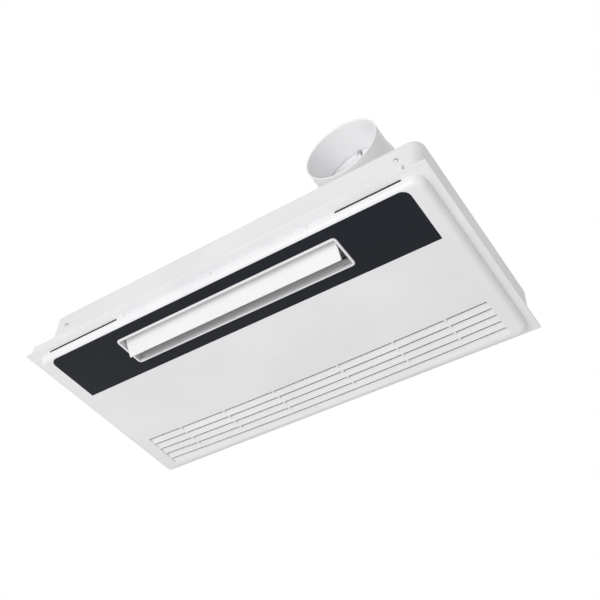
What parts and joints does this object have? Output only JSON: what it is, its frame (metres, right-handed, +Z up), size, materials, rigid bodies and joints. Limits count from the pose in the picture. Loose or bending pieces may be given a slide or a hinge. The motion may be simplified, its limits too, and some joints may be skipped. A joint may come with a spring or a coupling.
{
  "type": "recessed ceiling fan",
  "caption": "Rectangular ceiling fan unit set in a ceiling opening: slatted intake, swinging louvre outlet in a dark band, and a round exhaust duct collar with a flap damper.",
  "frame": {"origin": "middle of the ceiling opening, on the upper face of the frame's flange", "axes": "+X along the long side, +Z up into the ceiling void, the duct collar leaves towards -Y"},
  "size_m": [0.6, 0.3, 0.1931],
  "materials": {
    "white_plastic": "smooth satin moulding",
    "dark_band": "smooth dark blue-black",
    "white_steel": "white powder coat",
    "galvanised": "galvanised sheet",
    "steel": "plain",
    "black_plastic": "moulded",
    "grey_plastic": "moulded",
    "motor_paint": "grey enamel",
    "bronze": "sintered",
    "rubber": "moulded",
    "board_green": "solder mask",
    "terminal_cream": "moulded"
  },
  "bodies": {
    "housing": {"band_inlay": "dark_band", "base_frame": "white_plastic", "cable_gland": "black_plastic", "casing_deck": "white_steel", "casing_screws": "steel", "control_board": "board_green", "cover_panel": "white_plastic", "crossflow_bearing": "bronze", "crossflow_motor": "motor_paint", "crossflow_motor_screws": "steel", "damper_pin": "steel", "duct_spigot": "white_plastic", "exhaust_motor": "motor_paint", "exhaust_motor_screws": "steel", "exhaust_scroll": "black_plastic", "frame_screws": "steel", "hanger_plates": "galvanised", "inlet_ring": "black_plastic", "ir_receiver": "black_plastic", "lid_screws": "steel", "lower_casing_far": "white_steel", "lower_casing_left": "white_steel", "lower_casing_near": "white_steel", "lower_casing_right": "white_steel", "nut_plates": "galvanised", "outlet_bezel": "white_plastic", "run_capacitor": "grey_plastic", "scroll_cover": "black_plastic", "scroll_end_left": "white_plastic", "scroll_end_right": "white_plastic", "scroll_guide": "white_plastic", "scroll_posts": "rubber", "side_screws": "steel", "spigot_screws": "steel", "swing_motor": "grey_plastic", "swing_motor_screws": "steel", "terminal_block": "terminal_cream", "terminal_box": "grey_plastic", "terminal_box_cover": "grey_plastic", "terminal_screws": "steel", "top_plate": "galvanised", "upper_casing_far": "galvanised", "upper_casing_left": "galvanised", "upper_casing_near": "galvanised", "upper_casing_right": "galvanised", "vortex_tongue": "white_plastic"},
    "vane": {"louvre_vane": "white_plastic"},
    "crossflow_rotor": {"crossflow_wheel": "white_plastic", "crossflow_motor_shaft": "steel", "crossflow_stub_axle": "steel"},
    "exhaust_rotor": {"exhaust_wheel": "black_plastic", "exhaust_cup": "black_plastic", "exhaust_motor_shaft": "steel"},
    "flap_left": {"damper_flap_left": "white_plastic"},
    "flap_right": {"damper_flap_right": "white_plastic"}
  },
  "joints": [
    {"name": "louvre_swing", "type": "hinge", "parent": "housing", "child": "vane", "pos_m": [0, -0.0974, -0.0012], "axis": [1, 0, 0], "range_deg": [-30, 55]},
    {"name": "crossflow_spin", "type": "hinge", "parent": "housing", "child": "crossflow_rotor", "pos_m": [0, -0.036, 0.034], "axis": [1, 0, 0], "continuous": true},
    {"name": "exhaust_spin", "type": "hinge", "parent": "housing", "child": "exhaust_rotor", "pos_m": [0.1478, 0.057, 0.1], "axis": [0, 0, 1], "continuous": true},
    {"name": "flap_left_swing", "type": "hinge", "parent": "housing", "child": "flap_left", "pos_m": [0.1913, -0.103, 0.1035], "axis": [0, 0, 1], "range_deg": [0, 72]},
    {"name": "flap_right_swing", "type": "hinge", "parent": "housing", "child": "flap_right", "pos_m": [0.1913, -0.103, 0.1035], "axis": [0, 0, -1], "range_deg": [0, 72]}
  ]
}
